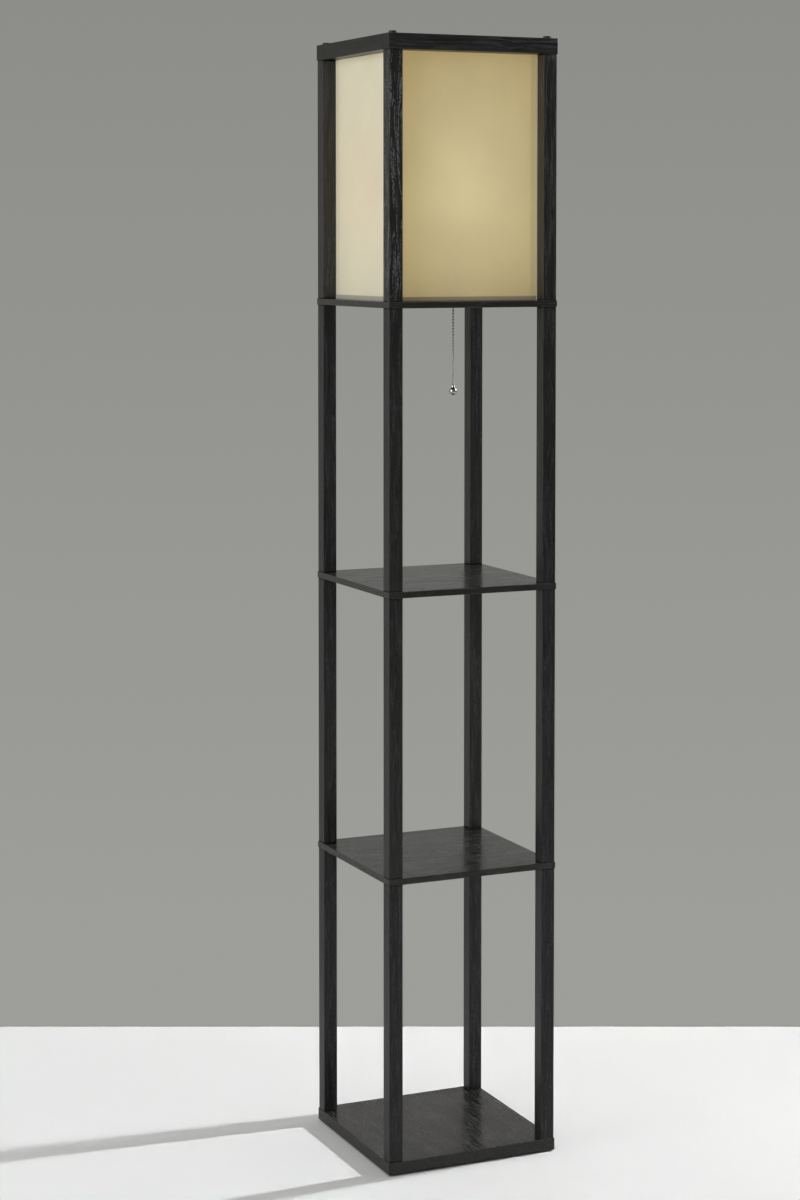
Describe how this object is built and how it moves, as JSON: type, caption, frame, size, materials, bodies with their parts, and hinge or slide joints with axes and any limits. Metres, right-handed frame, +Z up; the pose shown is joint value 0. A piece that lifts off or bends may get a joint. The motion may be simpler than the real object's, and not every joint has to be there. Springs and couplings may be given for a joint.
{
  "type": "shelf floor lamp",
  "caption": "Square open-shelf tower in black wood with a translucent box shade held between the upper posts and a bead-chain switch.",
  "frame": {"origin": "on the floor, under the middle of the square tower", "axes": "+Z up the posts, front towards -Y, +X to the right seen from the front"},
  "size_m": [0.26, 0.26, 1.5933],
  "materials": {
    "black_veneer": "black-stained open-grain veneer on board, satin lacquer",
    "shade_film": "cream translucent laminated sheet, matte",
    "shade_strip": "plain pale softwood strip",
    "dowel_beech": "plain beech, fluted",
    "zinc_steel": "zinc plated",
    "black_bolt": "black oxide, satin",
    "glide_plastic": "smooth moulded plastic",
    "bushing_plastic": "smooth moulded plastic",
    "socket_brass": "bright brass plated",
    "socket_card": "pressed insulating card",
    "switch_phenolic": "moulded phenolic",
    "cap_aluminium": "pressed thin sheet",
    "contact_brass": "spring brass strip",
    "grommet_rubber": "moulded soft collar",
    "chain_chrome": "nickel-plated bead chain",
    "ball_chrome": "polished",
    "bulb_glass": "frosted, warm white",
    "bulb_button": "black vitrite button"
  },
  "bodies": {
    "frame": {"base_board": "black_veneer", "base_bolts": "zinc_steel", "centre_contact": "contact_brass", "chain_grommet": "grommet_rubber", "chain_guide": "socket_brass", "cord_bushing": "bushing_plastic", "foot_glides": "glide_plastic", "frame_dowels": "dowel_beech", "joining_studs": "zinc_steel", "lamp_pipe": "zinc_steel", "lamp_shelf": "black_veneer", "lever_pin": "zinc_steel", "lower_post_back_left": "black_veneer", "lower_post_back_right": "black_veneer", "lower_post_front_left": "black_veneer", "lower_post_front_right": "black_veneer", "lower_shelf": "black_veneer", "middle_post_back_left": "black_veneer", "middle_post_back_right": "black_veneer", "middle_post_front_left": "black_veneer", "middle_post_front_right": "black_veneer", "middle_shelf": "black_veneer", "pipe_nuts": "zinc_steel", "pipe_washers": "zinc_steel", "post_inserts": "zinc_steel", "screw_shell": "cap_aluminium", "shade_bottom_battens": "shade_strip", "shade_corner_strips": "shade_strip", "shade_panel_back": "shade_film", "shade_panel_front": "shade_film", "shade_panel_left": "shade_film", "shade_panel_right": "shade_film", "shade_post_back_left": "black_veneer", "shade_post_back_right": "black_veneer", "shade_post_front_left": "black_veneer", "shade_post_front_right": "black_veneer", "shade_top_battens": "shade_strip", "socket_cap": "socket_brass", "socket_liner": "socket_card", "socket_shell": "socket_brass", "switch_body": "switch_phenolic", "top_bolts": "black_bolt", "top_rail_back": "black_veneer", "top_rail_front": "black_veneer", "top_rail_left": "black_veneer", "top_rail_right": "black_veneer", "upper_post_back_left": "black_veneer", "upper_post_back_right": "black_veneer", "upper_post_front_left": "black_veneer", "upper_post_front_right": "black_veneer"},
    "switch_lever": {"switch_lever": "zinc_steel"},
    "pull_chain": {"chain_upper": "chain_chrome"},
    "chain_knuckle": {"chain_knuckle": "chain_chrome"},
    "chain_drop": {"chain_drop": "chain_chrome", "pull_ball": "ball_chrome"},
    "bulb": {"bulb_globe": "bulb_glass", "bulb_cap": "cap_aluminium", "bulb_insulator": "bulb_button", "bulb_contact": "zinc_steel"}
  },
  "joints": [
    {"name": "chain_pull", "type": "slide", "parent": "frame", "child": "pull_chain", "axis": [0, 0, -1], "range_m": [0, 0.0077], "stiffness_N_per_m": 300, "springref_m": -0.002},
    {"name": "lever_turn", "type": "hinge", "parent": "frame", "child": "switch_lever", "pos_m": [0.009, 0, 1.24318], "axis": [0, 1, 0], "range_deg": [0, 22]},
    {"name": "chain_swing_front_back", "type": "hinge", "parent": "pull_chain", "child": "chain_knuckle", "pos_m": [0.0289, 0, 1.2098], "axis": [1, 0, 0], "range_deg": [-35, 35]},
    {"name": "chain_swing_left_right", "type": "hinge", "parent": "chain_knuckle", "child": "chain_drop", "pos_m": [0.0289, 0, 1.2098], "axis": [0, 1, 0], "range_deg": [-35, 35]},
    {"name": "bulb_turn", "type": "hinge", "parent": "frame", "child": "bulb", "pos_m": [0, 0, 1.3], "axis": [0, 0, 1], "range_deg": [0, 1080]}
  ],
  "couplings": [
    {"joint": "lever_turn", "follows": "chain_pull", "rad_per_m": 49.633}
  ]
}
